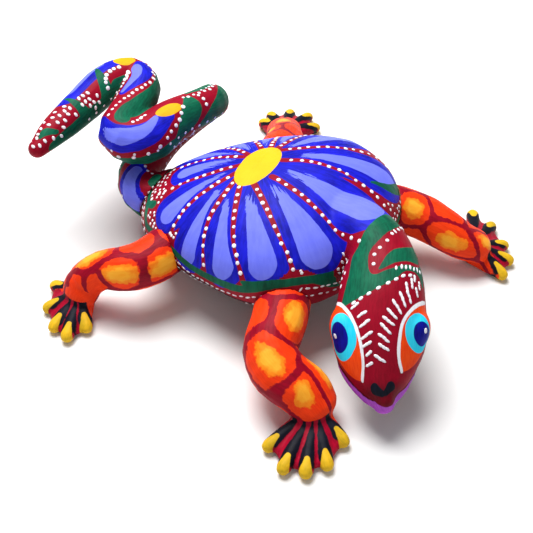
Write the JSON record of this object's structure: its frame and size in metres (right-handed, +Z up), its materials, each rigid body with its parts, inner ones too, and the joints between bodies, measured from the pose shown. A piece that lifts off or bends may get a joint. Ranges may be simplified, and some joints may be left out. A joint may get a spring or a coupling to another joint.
{
  "type": "alebrije figure",
  "caption": "Hand-carved painted wooden lizard with its head turned to one side; its legs and winding tail pull off on square pegs.",
  "frame": {"origin": "on the table, under the middle of the whole figure's box", "axes": "+Y from the middle of the figure towards its tail, so the body points along -Y; +X to the creature's left; +Z up from the soles of the feet"},
  "size_m": [0.163, 0.172, 0.056],
  "materials": {
    "body_paint": "satin acrylic paint on carved copal wood: blue and lavender petals round a yellow disc, crimson and green with white dots",
    "tail_paint": "satin acrylic paint on carved copal wood: green, crimson and lavender with white dots",
    "leg_paint": "satin acrylic paint on carved copal wood: orange and yellow patches in a crimson net, black toes and yellow claws",
    "peg_wood": "bare whittled copal wood"
  },
  "bodies": {
    "body": {"body_with_head": "body_paint"},
    "leg_front_right": {"leg_front_right": "leg_paint", "leg_front_right_peg": "peg_wood"},
    "leg_rear_right": {"leg_rear_right": "leg_paint", "leg_rear_right_peg": "peg_wood"},
    "leg_front_left": {"leg_front_left": "leg_paint", "leg_front_left_peg": "peg_wood"},
    "leg_rear_left": {"leg_rear_left": "leg_paint", "leg_rear_left_peg": "peg_wood"},
    "tail": {"tail": "tail_paint", "tail_peg": "peg_wood"}
  },
  "joints": [
    {"name": "leg_front_right_pull", "type": "slide", "parent": "body", "child": "leg_front_right", "axis": [-0.789, -0.5159, -0.3338], "range_m": [0, 0.01]},
    {"name": "leg_rear_right_pull", "type": "slide", "parent": "body", "child": "leg_rear_right", "axis": [-0.887, 0.3548, -0.2957], "range_m": [0, 0.01]},
    {"name": "leg_front_left_pull", "type": "slide", "parent": "body", "child": "leg_front_left", "axis": [0.7394, -0.6074, -0.2905], "range_m": [0, 0.01]},
    {"name": "leg_rear_left_pull", "type": "slide", "parent": "body", "child": "leg_rear_left", "axis": [0.8614, 0.4307, -0.2692], "range_m": [0, 0.01]},
    {"name": "tail_pull", "type": "slide", "parent": "body", "child": "tail", "axis": [-0.6685, 0.7428, -0.0371], "range_m": [0, 0.013]}
  ]
}
